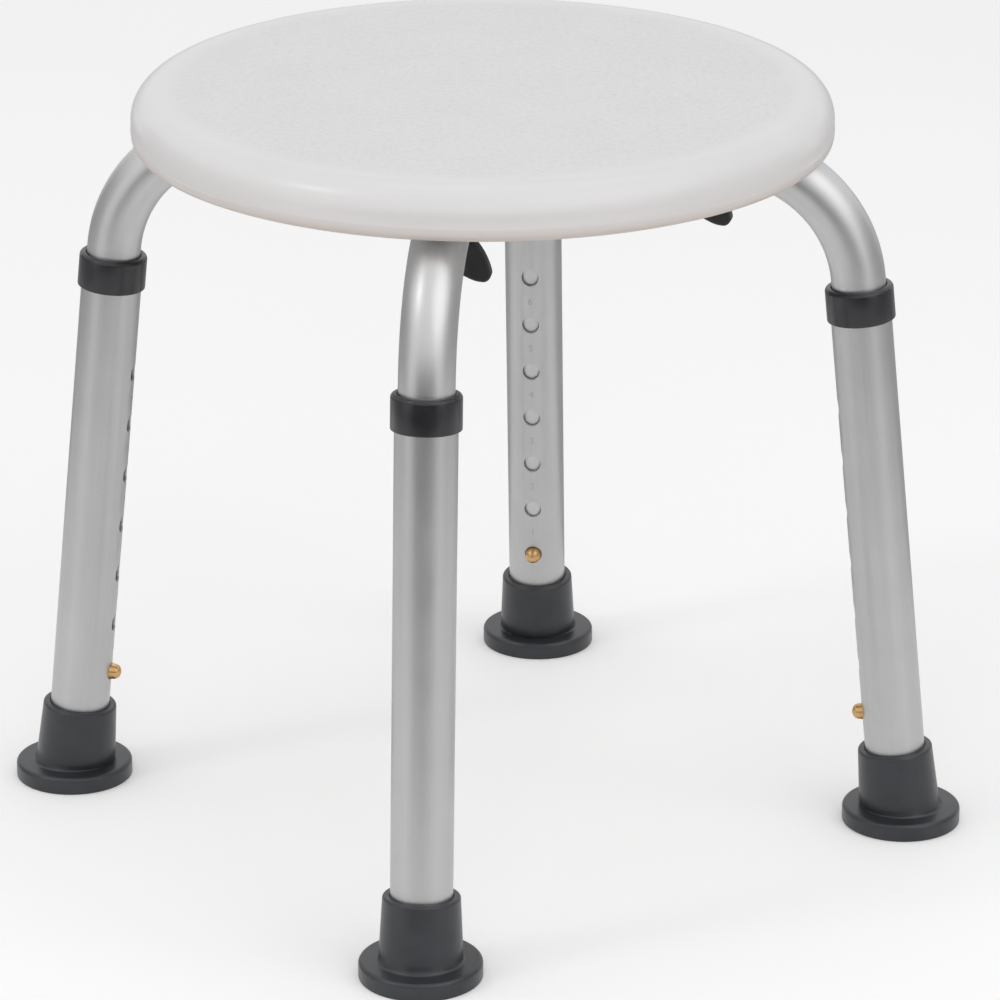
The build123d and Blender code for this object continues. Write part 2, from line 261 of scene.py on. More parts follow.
def leg_frame(side):
    """A leg's own frame: Z up along the leg from the floor, X square to it and towards the middle."""
    up = -Vector(joints[f"{side}_leg_slide"]["axis"]).normalized()
    inward = -Vector(joints[f"{side}_button_press"]["axis"]).normalized()
    low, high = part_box(f"{side}_foot")
    turn = Matrix((inward, up.cross(inward), up)).transposed().to_4x4()
    # The foot's box is of a faceted round, so its middle is rounded to a tenth of a millimetre.
    foot = Vector((round((low.x + high.x) / 2, 4), round((low.y + high.y) / 2, 4), 0))
    return Matrix.Translation(foot) @ turn


def side_turn(side):
    """Turns something made towards +X so that it points towards a side's leg."""
    foot = leg_frame(side).translation
    return Matrix.Rotation(atan2(foot.y, foot.x), 4, "Z")


def screw_place(side, place):
    """Where a wing screw's axis meets the top of its head."""
    return Vector(joints[f"{side}_{place}_screw_turn"]["pos_m"])


leg_lean = asin(-Vector(joints["right_leg_slide"]["axis"]).cross(Vector((0, 0, 1))).y)
foot_circle = leg_frame("right").translation.x
bend_end_radius = foot_circle - BEND_START * sin(leg_lean) - BEND_RADIUS * cos(leg_lean)
bend_middle = (bend_end_radius, run_height - BEND_RADIUS)
button_turn = Matrix.Translation((0, 0, FIRST_HOLE)) @ Matrix.Rotation(pi / 2, 4, "Y")


def arc(middle, radius, start, end, steps):
    """Points of a round stretch, with its angles in degrees."""
    angles = [radians(start + (end - start) * step / steps) for step in range(steps + 1)]
    return [(middle[0] + radius * cos(angle), middle[1] + radius * sin(angle)) for angle in angles]


def arc_through(first, second, third, steps):
    """Points of the round stretch through three points."""
    a, b, c = Vector(first), Vector(second), Vector(third)
    twice = 2 * ((b - a).cross(c - a))
    ab, ac = (b - a).length_squared, (c - a).length_squared
    x = ((c - a).y * ab - (b - a).y * ac) / twice
    y = ((b - a).x * ac - (c - a).x * ab) / twice
    middle = a + Vector((x, y))
    start = a - middle
    whole = -start.angle_signed(c - middle)
    halfway = Matrix.Rotation(whole / 2, 2) @ start
    if (middle + halfway - b).length > start.length:
        whole -= tau if whole > 0 else -tau
    return [tuple(middle + Matrix.Rotation(whole * step / steps, 2) @ start) for step in range(steps + 1)]


def eased(share):
    """A share that starts and ends gently."""
    return share * share * (3 - 2 * share)


def ring(radius, height, sides):
    """A ring of points around Z; a ring with no radius is one point."""
    if radius == 0:
        return [Vector((0, 0, height))]
    angles = [tau * side / sides for side in range(sides)]
    return [Vector((radius * cos(angle), radius * sin(angle), height)) for angle in angles]


def skin(rings, looped=False):
    """Joins rings of points into one surface; a ring of one point closes an end."""
    points = [point for each in rings for point in each]
    starts = [0]
    for each in rings:
        starts.append(starts[-1] + len(each))
    pairs = [(low, low + 1) for low in range(len(rings) - 1)]
    if looped:
        pairs.append((len(rings) - 1, 0))
    faces = []
    for low, high in pairs:
        sides = max(len(rings[low]), len(rings[high]))
        for side in range(sides):
            after = (side + 1) % sides
            corners = [
                starts[low] + side % len(rings[low]),
                starts[low] + after % len(rings[low]),
                starts[high] + after % len(rings[high]),
                starts[high] + side % len(rings[high]),
            ]
            faces.append(list(dict.fromkeys(corners)))
    return points, faces


def lathe(profile, sides, looped=False):
    """A shape turned about Z, from (radius, height) points."""
    return skin([ring(radius, height, sides) for radius, height in profile], looped)


def joined(shapes):
    """Several (points, faces) shapes as one."""
    points, faces = [], []
    for more_points, more_faces in shapes:
        faces += [[len(points) + corner for corner in face] for face in more_faces]
        points += more_points
    return points, faces


def moved(shape, place):
    """A (points, faces) shape, put in its place."""
    return [place @ Vector(point) for point in shape[0]], shape[1]


def facing_outwards(mesh):
    """Closes the seams of a mesh and turns its faces outwards."""
    tidy = bmesh.new()
    tidy.from_mesh(mesh)
    bmesh.ops.remove_doubles(tidy, verts=tidy.verts, dist=WELD)
    bmesh.ops.recalc_face_normals(tidy, faces=tidy.faces)
    tidy.to_mesh(mesh)
    tidy.free()
    return mesh


def smoothed(mesh):
    """Smooth shading, with edges sharper than SHARP kept."""
    mesh.polygons.foreach_set("use_smooth", [True] * len(mesh.polygons))
    mesh.set_sharp_from_angle(angle=radians(SHARP))
    return mesh


def faces_of(mesh):
    """A mesh's faces, as lists of corners."""
    return [list(polygon.vertices) for polygon in mesh.polygons]


def add_object(name, data):
    """A scene object at the origin."""
    made = bpy.data.objects.new(name, data)
    bpy.context.scene.collection.objects.link(made)
    return made


def add_shape(name, shape, place=None):
    """An object of a (points, faces) shape, with its place in its points and its faces outwards."""
    points, faces = shape
    mesh = bpy.data.meshes.new(name)
    mesh.from_pydata([tuple(point) for point in points], [], faces)
    facing_outwards(mesh)
    if place is not None:
        mesh.transform(place)
    return add_object(name, smoothed(mesh))


def poly_curve(name, points, closed=False):
    """A curve of straight steps: a closed outline is flat, and an open path is not."""
    curve = bpy.data.curves.new(name, "CURVE")
    curve.dimensions = "2D" if closed else "3D"
    spline = curve.splines.new("POLY")
    spline.points.add(len(points) - 1)
    spline.use_cyclic_u = closed
    for target, point in zip(spline.points, points):
        target.co = (*point, 1)
    return curve


def settled(made):
    """Turns an object with modifiers into a plain mesh object, and removes the old one."""
    bpy.context.view_layer.update()
    evaluated = made.evaluated_get(bpy.context.evaluated_depsgraph_get())
    mesh = bpy.data.meshes.new_from_object(evaluated)
    name = made.name
    bpy.data.objects.remove(made)
    mesh.name = name
    return add_object(name, mesh)


def taken_apart(made):
    """The mesh of an object with modifiers, and no object."""
    made = settled(made)
    mesh = made.data
    bpy.data.objects.remove(made)
    return mesh


def cut_away(made, *cutters):
    """Takes the cutters' shapes out of an object, and removes the cutters."""
    for cutter in cutters:
        cut = made.modifiers.new("cut", "BOOLEAN")
        cut.operation = "DIFFERENCE"
        cut.solver = "EXACT"
        cut.object = cutter
    made = settled(made)
    for cutter in cutters:
        bpy.data.objects.remove(cutter)
    smoothed(made.data)
    return made


def dress(piece, finish, body, slot, *nodes):
    """Gives a piece its finish, the body that it moves with and the nodes that it stands for."""
    piece.data.materials.clear()
    piece.data.materials.append(finish)
    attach(piece, body)
    if nodes:
        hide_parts(*nodes)


def linear(colour):
    """An sRGB hex colour as linear red, green, blue and alpha."""
    channels = [int(colour[start:start + 2], 16) / 255 for start in (1, 3, 5)]
    bright = [c / 12.92 if c <= 0.04045 else ((c + 0.055) / 1.055) ** 2.4 for c in channels]
    return (*bright, 1.0)


def per_metre(millimetres):
    """The scale of a pattern whose features are this far apart."""
    return 1 / (millimetres * MM)


def node(tree, kind, inputs=None, stops=(), **settings):
    """Adds a node. An input is a plain value, an output to link, a node whose first output is linked, or a
    list of these. A colour ramp has stops: pairs of a place, in order, and a hex colour."""
    made = tree.nodes.new(kind)
    for name, value in settings.items():
        setattr(made, name, value)
    for name, value in (inputs or {}).items():
        for source in value if isinstance(value, list) else [value]:
            if isinstance(source, bpy.types.Node):
                source = next(output for output in source.outputs if output.enabled)
            if isinstance(source, bpy.types.NodeSocket):
                tree.links.new(source, made.inputs[name])
            else:
                made.inputs[name].default_value = source
    if stops:
        ramp = made.color_ramp.elements
        ramp[0].position, ramp[1].position = stops[0][0], stops[-1][0]
        for place, _ in stops[1:-1]:
            ramp.new(place)
        for element, (_, colour) in zip(ramp, stops):
            element.color = linear(colour)
    return made


def new_material(name):
    """An empty node material and its tree."""
    made = bpy.data.materials.new(name)
    made.use_nodes = True
    made.node_tree.nodes.clear()
    return made, made.node_tree


def blow_moulded_polyethylene():
    """Polyethylene, blow moulded: pale grey-white, pebbled on the flat top by an etched mould, and left
    smooth and a little glossier round the rim. Painted shade makes the rim darker and warmer towards the
    underside."""
    made, tree = new_material("blow_moulded_polyethylene")
    place = node(tree, "ShaderNodeTexCoord").outputs["Object"]
    pebble = node(tree, "ShaderNodeTexVoronoi", {
        "Vector": place, "Scale": per_metre(2.1),
    }, feature="SMOOTH_F1")
    ripple = node(tree, "ShaderNodeTexNoise", {"Vector": place, "Scale": per_metre(1.3), "Detail": 3.0})
    cloud = node(tree, "ShaderNodeTexNoise", {"Vector": place, "Scale": per_metre(30), "Detail": 3.0})
    spot = node(tree, "ShaderNodeSeparateXYZ", {"Vector": place})
    level = node(tree, "ShaderNodeCombineXYZ", {"X": spot.outputs["X"], "Y": spot.outputs["Y"]})
    reach = node(tree, "ShaderNodeVectorMath", {0: level}, operation="LENGTH")
    etched = node(tree, "ShaderNodeMapRange", {
        "Value": reach, "From Min": seat_radius - SMOOTH_RIM, "From Max": seat_radius - ETCHED_FROM,
    }, interpolation_type="SMOOTHSTEP")
    # Painted shade by height alone: the rim darker and warmer towards the underside, and palest on the top.
    rise = node(tree, "ShaderNodeMapRange", {
        "Value": spot.outputs["Z"], "From Min": seat_bottom, "From Max": seat_top - PAINTED_SHADE_END,
    })
    shade = node(tree, "ShaderNodeValToRGB", {"Fac": rise}, (
        (0.0, "#DAD7D5"), (0.015, "#C6BAB1"), (0.16, "#D1C8C2"), (0.3, "#DBD7D6"), (1.0, "#E3E2E2"),
    ))
    mottle = node(tree, "ShaderNodeValToRGB", {"Fac": cloud}, ((0.35, "#FDFDFD"), (0.65, "#FFFFFF")))
    painted_shade_mottled = node(tree, "ShaderNodeMix", {
        MIX_FACTOR: 1.0, MIX_FIRST: shade, MIX_SECOND: mottle,
    }, data_type="RGBA", blend_type="MULTIPLY")
    # Painted shade: the pits of the etched grain a little darker, as if shade falls into them.
    painted_pit_shade = node(tree, "ShaderNodeValToRGB", {"Fac": pebble}, ((0.3, "#FFFFFF"), (0.75, "#F8F8F8")))
    colour = node(tree, "ShaderNodeMix", {
        MIX_FACTOR: etched, MIX_FIRST: painted_shade_mottled, MIX_SECOND: painted_pit_shade,
    }, data_type="RGBA", blend_type="MULTIPLY")
    uneven = node(tree, "ShaderNodeMath", {0: ripple, 1: etched}, operation="MULTIPLY")
    gloss = node(tree, "ShaderNodeMapRange", {
        "Value": uneven, "From Max": 0.6, "To Min": 0.285, "To Max": 0.46,
    })
    grain = node(tree, "ShaderNodeMath", {0: pebble, 1: ripple})
    height = node(tree, "ShaderNodeMath", {0: grain, 1: etched}, operation="MULTIPLY")
    bump = node(tree, "ShaderNodeBump", {"Strength": 0.8, "Distance": 0.16 * MM, "Height": height})
    surface = node(tree, "ShaderNodeBsdfPrincipled", {
        "Base Color": colour, "Roughness": gloss, "Normal": bump, "IOR": 1.51,
    })
    node(tree, "ShaderNodeOutputMaterial", {"Surface": surface})
    return made


def anodised_tube(name, dark, bright, smooth, rough):
    """Aluminium tube, drawn, etched and anodised: satin grey, with fine grain and faint lines along it. Both
    are finer on a real tube, and are drawn as coarse as they need to show."""
    made, tree = new_material(name)
    place = node(tree, "ShaderNodeAttribute", attribute_name="tube_place").outputs["Vector"]
    grain = node(tree, "ShaderNodeTexNoise", {"Vector": place, "Scale": per_metre(0.7), "Detail": 4.0})
    stretched = node(tree, "ShaderNodeMapping", {"Vector": place, "Scale": (1.0, 1.0, LINE_SCALE)})
    lines = node(tree, "ShaderNodeTexNoise", {"Vector": stretched, "Scale": per_metre(1.1), "Detail": 3.0})
    patch = node(tree, "ShaderNodeTexNoise", {"Vector": place, "Scale": per_metre(26), "Detail": 3.0})
    shade = node(tree, "ShaderNodeMix", {
        MIX_FACTOR: 0.5, MIX_FIRST: grain.outputs["Color"], MIX_SECOND: lines.outputs["Color"],
    }, data_type="RGBA")
    tone = node(tree, "ShaderNodeMix", {
        MIX_FACTOR: 0.35, MIX_FIRST: shade, MIX_SECOND: patch.outputs["Color"],
    }, data_type="RGBA")
    colour = node(tree, "ShaderNodeValToRGB", {"Fac": tone}, ((0.35, dark), (0.65, bright)))
    gloss = node(tree, "ShaderNodeMapRange", {
        "Value": patch, "From Min": NOISE_LOW, "From Max": NOISE_HIGH, "To Min": smooth, "To Max": rough,
    })
    bump = node(tree, "ShaderNodeBump", {"Strength": 0.10, "Distance": 0.05 * MM, "Height": shade})
    surface = node(tree, "ShaderNodeBsdfPrincipled", {
        "Base Color": colour, "Metallic": 1.0, "Roughness": gloss, "Normal": bump,
    })
    node(tree, "ShaderNodeOutputMaterial", {"Surface": surface})
    return made


def engraved_aluminium():
    """Numbers engraved through the anodised skin: a rougher, darker grey than the tube around them."""
    made, tree = new_material("engraved_aluminium")
    place = node(tree, "ShaderNodeTexCoord").outputs["Object"]
    grit = node(tree, "ShaderNodeTexNoise", {"Vector": place, "Scale": per_metre(0.4), "Detail": 2.0})
    colour = node(tree, "ShaderNodeValToRGB", {"Fac": grit}, ((0.0, "#ABABAB"), (1.0, "#B9B9B9")))
    surface = node(tree, "ShaderNodeBsdfPrincipled", {
        "Base Color": colour, "Metallic": 1.0, "Roughness": 0.55,
    })
    node(tree, "ShaderNodeOutputMaterial", {"Surface": surface})
    return made


def grained(name, tones, blotch, grain, gloss, relief, surface, worn=False):
    """A finish with blotches of two tones and a fine grain. Blotch and grain are settings of their noises,
    gloss is the least and most roughness, and relief the strength and millimetres of the grain. The gloss
    follows the grain, or the blotches where it is worn. A grain under a millimetre is finer on the real
    thing, and is drawn as coarse as it needs to show."""
    made, tree = new_material(name)
    place = node(tree, "ShaderNodeTexCoord").outputs["Object"]
    fine = node(tree, "ShaderNodeTexNoise", {"Vector": place, **grain})
    broad = node(tree, "ShaderNodeTexNoise", {"Vector": place, **blotch})
    colour = node(tree, "ShaderNodeValToRGB", {"Fac": broad}, tones)
    sheen = node(tree, "ShaderNodeMapRange", {
        "Value": broad if worn else fine, "From Min": NOISE_LOW, "From Max": NOISE_HIGH,
        "To Min": gloss[0], "To Max": gloss[1],
    })
    bump = node(tree, "ShaderNodeBump", {"Strength": relief[0], "Distance": relief[1] * MM, "Height": fine})
    coat = node(tree, "ShaderNodeBsdfPrincipled", {
        "Base Color": colour, "Roughness": sheen, "Normal": bump, **surface,
    })
    node(tree, "ShaderNodeOutputMaterial", {"Surface": coat})
    return made


def moulded_polypropylene(name, base, pale, gloss, pebble_size, pebble_height):
    """Polypropylene, injection moulded: near-black, with the sheen and spark-eroded grain of its mould."""
    flow = {"Scale": per_metre(9), "Detail": 2.0}
    pebble = {"Scale": per_metre(pebble_size), "Detail": 4.0, "Roughness": 0.65}
    tones = ((0.3, base), (0.8, pale))
    return grained(name, tones, flow, pebble, gloss, (0.35, pebble_height), {"IOR": 1.49})


def moulded_rubber():
    """Rubber, compression moulded: slate grey with a low sheen, a faint bloom and slightly paler patches."""
    bloom = {"Scale": per_metre(11), "Detail": 4.0}
    grain = {"Scale": per_metre(0.8), "Detail": 4.0}
    tones = ((0.3, "#282A2E"), (0.75, "#323439"))
    gloss, relief = (0.29, 0.38), (0.3, 0.06)
    return grained("moulded_rubber", tones, bloom, grain, gloss, relief, {"IOR": 1.52}, worn=True)


def turned_metal(name, dark, bright, gloss, grain_size):
    """Small turned, pressed or plated metal parts: fine tool grain over an uneven sheen."""
    tarnish = {"Scale": per_metre(3), "Detail": 2.0}
    grain = {"Scale": per_metre(grain_size), "Detail": 3.0}
    tones = ((0.3, dark), (0.7, bright))
    return grained(name, tones, tarnish, grain, gloss, (0.08, 0.03), {"Metallic": 1.0})


polyethylene = blow_moulded_polyethylene()
# The bent tubes were etched lightly: a paler satin.
upper_aluminium = anodised_tube("bright_anodised_aluminium", "#C6C6C6", "#CECECE", 0.38, 0.45)
# The drilled tubes were etched more: a greyer satin.
lower_aluminium = anodised_tube("satin_anodised_aluminium", "#BCBCBC", "#C6C6C6", 0.37, 0.45)
engraving = engraved_aluminium()
# From a polished mould: charcoal, with clear highlights and hardly any grain.
collar_plastic = moulded_polypropylene("glossy_polypropylene", "#252428", "#2C2B30", (0.21, 0.265), 2.5, 0.01)
# From a deeply eroded mould: black, pebbled and dull.
knob_plastic = moulded_polypropylene(
    "spark_textured_polypropylene", "#18181A", "#242425", (0.38, 0.55), 0.9, 0.22
)
# From a plain mould: black, with a soft sheen and a shallow grain.
plug_plastic = moulded_polypropylene("plain_polypropylene", "#1E1E20", "#28282A", (0.36, 0.46), 0.9, 0.04)
rubber = moulded_rubber()
# Turned and polished: warm yellow with a soft gleam.
brass = turned_metal("polished_brass", "#C9A069", "#DCB682", (0.29, 0.36), 0.35)
# Turned and knurled, and left so: a darker, duller yellow.
insert_brass = turned_metal("knurled_brass", "#B98F4F", "#C8A062", (0.30, 0.42), 0.5)
# Plated after it was formed: a cool pale grey.
zinc_steel = turned_metal("zinc_plated_steel", "#A9ABAE", "#C0C2C5", (0.29, 0.40), 0.5)
# Rolled, hardened and left bare: a dark grey.
spring_steel = turned_metal("rolled_spring_steel", "#77797D", "#8F9195", (0.29, 0.40), 0.4)


def seat_shape():
    """The turned body of the seat, with a parting line on its rim and a flat underside."""
    parting = seat_bottom + PARTING_HEIGHT
    bottom_middle = (seat_radius - SEAT_BOTTOM_ROUND, seat_bottom + SEAT_BOTTOM_ROUND)
    top_middle = (seat_radius - SEAT_TOP_ROUND, seat_top - SEAT_TOP_ROUND)
    profile = arc(bottom_middle, SEAT_BOTTOM_ROUND, -90, 0, steps=10)
    profile += [
        (seat_radius, parting - PARTING_WIDTH / 2),
        (seat_radius + PARTING_PROUD, parting - PARTING_FLAT / 2),
        (seat_radius + PARTING_PROUD, parting + PARTING_FLAT / 2),
        (seat_radius, parting + PARTING_WIDTH / 2),
    ]
    profile += arc(top_middle, SEAT_TOP_ROUND, 0, 90, steps=24)
    profile += [(seat_radius * share, seat_top) for share in SEAT_TOP_RINGS]
    points, faces = lathe(profile, SEAT_SIDES)
    faces.append(list(range(SEAT_SIDES)))
    return points, faces


def groove_shape():
    """What one tube takes out of the underside: its round, with a rounded lip along the straight run."""
    drop = seat_bottom - run_height
    lip_middle = sqrt((GROOVE_RADIUS + GROOVE_LIP) ** 2 - (drop + GROOVE_LIP) ** 2)
    lip_end = degrees(atan2(drop + GROOVE_LIP, lip_middle))
    right_lip = arc((lip_middle, drop + GROOVE_LIP), GROOVE_LIP, GROOVE_LIP_START, 180 + lip_end, steps=6)
    over = arc((0, 0), GROOVE_RADIUS, lip_end, 180 - lip_end, steps=28)
    left_lip = [(-across, up) for across, up in reversed(right_lip)]
    deep = -GROOVE_RADIUS
    outline = [(right_lip[0][0], deep), *right_lip, *over[1:-1], *left_lip, (left_lip[-1][0], deep)]
    stops = [(GROOVE_END, run_height, 90.0)]
    for step in range(GROOVE_STEPS + 1):
        angle = 90 - GROOVE_BEND * step / GROOVE_STEPS
        along, up = arc(bend_middle, BEND_RADIUS, angle, angle, steps=1)[0]
        stops.append((along, up, angle))
    rings = []
    for along, up, angle in stops:
        rise = Vector((cos(radians(angle)), 0, sin(radians(angle))))
        rings.append([Vector((along, across, up)) + rise * lift for across, lift in outline])
    points, faces = skin(rings)
    faces.append(list(range(len(outline))))
    faces.append(list(range(len(points) - len(outline), len(points))))
    return points, faces


def dimple_shape(distance, angle):
    """What one conical dimple takes out of the underside, with its mouth and its tip eased in steps."""
    tip = seat_top - DIMPLE_ROOF
    profile = [(0, seat_bottom - DIMPLE_LIP)]
    for out, up in DIMPLE_MOUTH:
        profile.append((DIMPLE_RADIUS + DIMPLE_LIP * out, seat_bottom + DIMPLE_LIP * up))
    for inwards, down in DIMPLE_TIP:
        profile.append((DIMPLE_TIP_RADIUS - DIMPLE_LIP * inwards, tip - DIMPLE_LIP * down))
    profile.append((0, tip))
    place = Matrix.Rotation(radians(angle), 4, "Z") @ Matrix.Translation((distance * MM, 0, 0))
    return moved(lathe(profile, SMALL_SIDES), place)


def peg_shape(radius, start, end):
    """An upright round peg between two heights."""
    return lathe([(0, start), (radius, start), (radius, end), (0, end)], SMALL_SIDES)


def make_seat():
    """The seat, with the grooves, dimples and insert pockets of its underside."""
    hollows, pockets = [], []
    roof = run_height + GROOVE_RADIUS
    for side in SIDES:
        turn = side_turn(side)
        hollows.append(moved(groove_shape(), turn))
        hollows += [moved(dimple_shape(*dimple), turn) for dimple in DIMPLES]
        for place in PLACES:
            middle = screw_place(side, place)
            peg = peg_shape(POCKET_RADIUS, roof - GROOVE_LIP, roof + POCKET_DEPTH)
            pockets.append(moved(peg, Matrix.Translation((middle.x, middle.y, 0))))
    cutters = add_shape("hollows", joined(hollows)), add_shape("pockets", joined(pockets))
    seat = cut_away(add_shape("moulded_seat", seat_shape()), *cutters)
    dress(seat, polyethylene, "seat_frame", "seat_polyethylene", "seat")


def new_tree(name, inputs):
    """A geometry tree with these inputs; gives back the tree, and its inputs' keys and outputs."""
    tree = bpy.data.node_groups.new(name, "GeometryNodeTree")
    keys = {}
    for label, kind in inputs.items():
        socket = tree.interface.new_socket(label, in_out="INPUT", socket_type=f"NodeSocket{kind}")
        keys[label] = socket.identifier
    tree.interface.new_socket("Geometry", in_out="OUTPUT", socket_type="NodeSocketGeometry")
    return tree, keys, node(tree, "NodeGroupInput").outputs


def end_tree(tree, geometry, finish):
    """Ends a geometry tree with real geometry that has its finish."""
    whole = node(tree, "GeometryNodeRealizeInstances", {"Geometry": geometry})
    finished = node(tree, "GeometryNodeSetMaterial", {"Geometry": whole, "Material": finish})
    node(tree, "NodeGroupOutput", {"Geometry": finished})


def through_tree(made, tree, keys, **inputs):
    """Adds a geometry tree to an object, with the tree's inputs set."""
    step = made.modifiers.new(tree.name, "NODES")
    step.node_group = tree
    for label, value in inputs.items():
        step[keys[label]] = value
    return made


def bent_tube_tree():
    """Nodes that run a round section along a path, and note each point's place along and around the tube."""
    tree, keys, given = new_tree("bent_tube", {
        "Path": "Geometry", "Radius": "Float", "Sides": "Int", "Finish": "Material",
    })
    along = node(tree, "GeometryNodeSplineParameter").outputs["Length"]
    path = node(tree, "GeometryNodeStoreNamedAttribute", {
        "Geometry": given["Path"], "Name": "along", "Value": along,
    }, data_type="FLOAT", domain="POINT")
    circle = node(tree, "GeometryNodeCurvePrimitiveCircle", {
        "Resolution": given["Sides"], "Radius": given["Radius"],
    })
    section = node(tree, "GeometryNodeStoreNamedAttribute", {
        "Geometry": circle, "Name": "section", "Value": node(tree, "GeometryNodeInputPosition"),
    }, data_type="FLOAT_VECTOR", domain="POINT")
    sheet = node(tree, "GeometryNodeCurveToMesh", {"Curve": path, "Profile Curve": section})
    read_along = node(tree, "GeometryNodeInputNamedAttribute", {"Name": "along"}, data_type="FLOAT")
    read_section = node(
        tree, "GeometryNodeInputNamedAttribute", {"Name": "section"}, data_type="FLOAT_VECTOR"
    )
    lift = node(tree, "ShaderNodeCombineXYZ", {"Z": read_along})
    place = node(tree, "ShaderNodeVectorMath", {0: read_section, 1: lift})
    noted = node(tree, "GeometryNodeStoreNamedAttribute", {
        "Geometry": sheet, "Name": "tube_place", "Value": place,
    }, data_type="FLOAT_VECTOR", domain="POINT")
    end_tree(tree, noted, given["Finish"])
    return tree, keys


def upper_tube_path():
    """Points of the right leg's upper tube: up the leg, round the bend and along the run."""
    upright = leg_frame("right")
    points = []
    for step in range(LEG_STEPS):
        height = UPPER_END + (BEND_START - UPPER_END) * step / LEG_STEPS
        points.append(upright @ Vector((0, 0, height)))
    bend = arc(bend_middle, BEND_RADIUS, degrees(leg_lean), 90, BEND_STEPS)
    points += [Vector((along, 0, up)) for along, up in bend]
    for step in range(1, RUN_STEPS + 1):
        along = bend_end_radius + (RUN_END - bend_end_radius) * step / RUN_STEPS
        points.append(Vector((along, 0, run_height)))
    return points


def upper_tube_holes():
    """What the snap button and the two screws take out of the right leg's upper tube."""
    holes = [moved(peg_shape(HOLE_RADIUS, UPPER_WALL, LOWER_RADIUS), leg_frame("right") @ button_turn)]
    for place in PLACES:
        through = peg_shape(SCREW_HOLE_RADIUS, run_height - LOWER_RADIUS, run_height + LOWER_RADIUS)
        holes.append(moved(through, Matrix.Translation((screw_place("right", place).x, 0, 0))))
    return joined(holes)


def make_upper_tube(side, tree, keys):
    """A bent tube with a wall, drilled for its button and its screws."""
    name = f"{side}_bent_tube"
    turn = side_turn(side)
    path = add_object(name, poly_curve(name, [turn @ point for point in upper_tube_path()]))
    tube = settled(through_tree(
        path, tree, keys, Radius=UPPER_RADIUS, Sides=TUBE_SIDES, Finish=upper_aluminium
    ))
    wall = tube.modifiers.new("wall", "SOLIDIFY")
    wall.thickness = UPPER_WALL
    wall.offset = -1
    tube = cut_away(tube, add_shape("holes", moved(upper_tube_holes(), turn)))
    dress(tube, upper_aluminium, "seat_frame", "aluminium", f"{side}_upper_tube")


def wall_angles(radius):
    """Columns of a drilled wall: even steps across the patch with the hole, then round the rest."""
    edge = asin(PATCH_HALF_WIDTH / radius)
    shares = [2 * step / PATCH_STEPS - 1 for step in range(PATCH_STEPS + 1)]
    angles = [asin(PATCH_HALF_WIDTH / radius * share) for share in shares]
    return angles + [edge + (tau - 2 * edge) * step / REST_STEPS for step in range(1, REST_STEPS)]


def wall_row(shape, radius, height, reach=None):
    """One row of points of a drilled wall, or of the broken edge beside it."""
    reach = radius if reach is None else reach
    return [shape.verts.new((reach * cos(a), reach * sin(a), height)) for a in wall_angles(radius)]


def bridge(shape, outer, inner):
    """A band of faces between two loops with as many points."""
    for step in range(len(outer)):
        after = (step + 1) % len(outer)
        shape.faces.new((outer[step], outer[after], inner[after], inner[step]))


def hole_rim(shape, radius, count, reach, sink):
    """A circle on a wall round its hole, or sunk a little into the metal."""
    points = []
    for step in range(count):
        y = reach * cos(tau * step / count)
        z = reach * sin(tau * step / count)
        points.append(shape.verts.new((sqrt(radius ** 2 - y ** 2) + sink, y, z)))
    return points


def drilled_wall(shape, radius, into_metal):
    """One face of a hole's length of tube; gives back the rim of its hole."""
    steps = PATCH_STEPS
    rows = [wall_row(shape, radius, HOLE_PITCH * (row / steps - 0.5)) for row in range(steps + 1)]
    for low, high in zip(rows, rows[1:]):
        for column in range(steps, len(low)):
            after = (column + 1) % len(low)
            shape.faces.new((low[column], low[after], high[after], high[column]))
    previous = [rows[steps // 2 + step][steps] for step in range(steps // 2)]
    previous += [rows[steps][steps - step] for step in range(steps)]
    previous += [rows[steps - step][0] for step in range(steps)]
    previous += [rows[0][step] for step in range(steps)]
    previous += [rows[step][steps] for step in range(steps // 2)]
    for out, down in HOLE_EDGE:
        reach = HOLE_RADIUS + HOLE_BREAK * out
        rim = hole_rim(shape, radius, len(previous), reach, HOLE_BREAK * down * into_metal)
        bridge(shape, previous, rim)
        previous = rim
    return previous


def freed(shape, name):
    """A finished bmesh as a mesh."""
    mesh = bpy.data.meshes.new(name)
    shape.to_mesh(mesh)
    shape.free()
    return mesh


def drilled_length_mesh():
    """One hole's length of the lower tube: both faces of its wall, with the edges of the hole broken."""
    shape = bmesh.new()
    outside = drilled_wall(shape, LOWER_RADIUS, -1)
    inside = drilled_wall(shape, LOWER_RADIUS - LOWER_WALL, 1)
    bridge(shape, outside, inside)
    bmesh.ops.delete(shape, geom=[v for v in shape.verts if not v.link_faces], context="VERTS")
    return freed(shape, "drilled_length")


def plain_ends_mesh():
    """The undrilled ends of the lower tube, with broken edges."""
    shape = bmesh.new()
    low_joint = FIRST_HOLE - HOLE_PITCH / 2
    high_joint = low_joint + HOLE_PITCH * HOLE_COUNT
    inner_radius = LOWER_RADIUS - LOWER_WALL
    for joint, end, edge in ((low_joint, LOWER_END, TUBE_EDGE), (high_joint, LOWER_TOP, -TUBE_EDGE)):
        ends = []
        for radius, inset in ((LOWER_RADIUS, -TUBE_EDGE), (inner_radius, TUBE_EDGE)):
            heights = [joint + (end + edge - joint) * row / END_ROWS for row in range(END_ROWS + 1)]
            rows = [wall_row(shape, radius, height) for height in heights]
            rows.append(wall_row(shape, radius, end, radius + inset))
            for low, high in zip(rows, rows[1:]):
                bridge(shape, low, high)
            ends.append(rows[-1])
        bridge(shape, *ends)
    return freed(shape, "plain_ends")


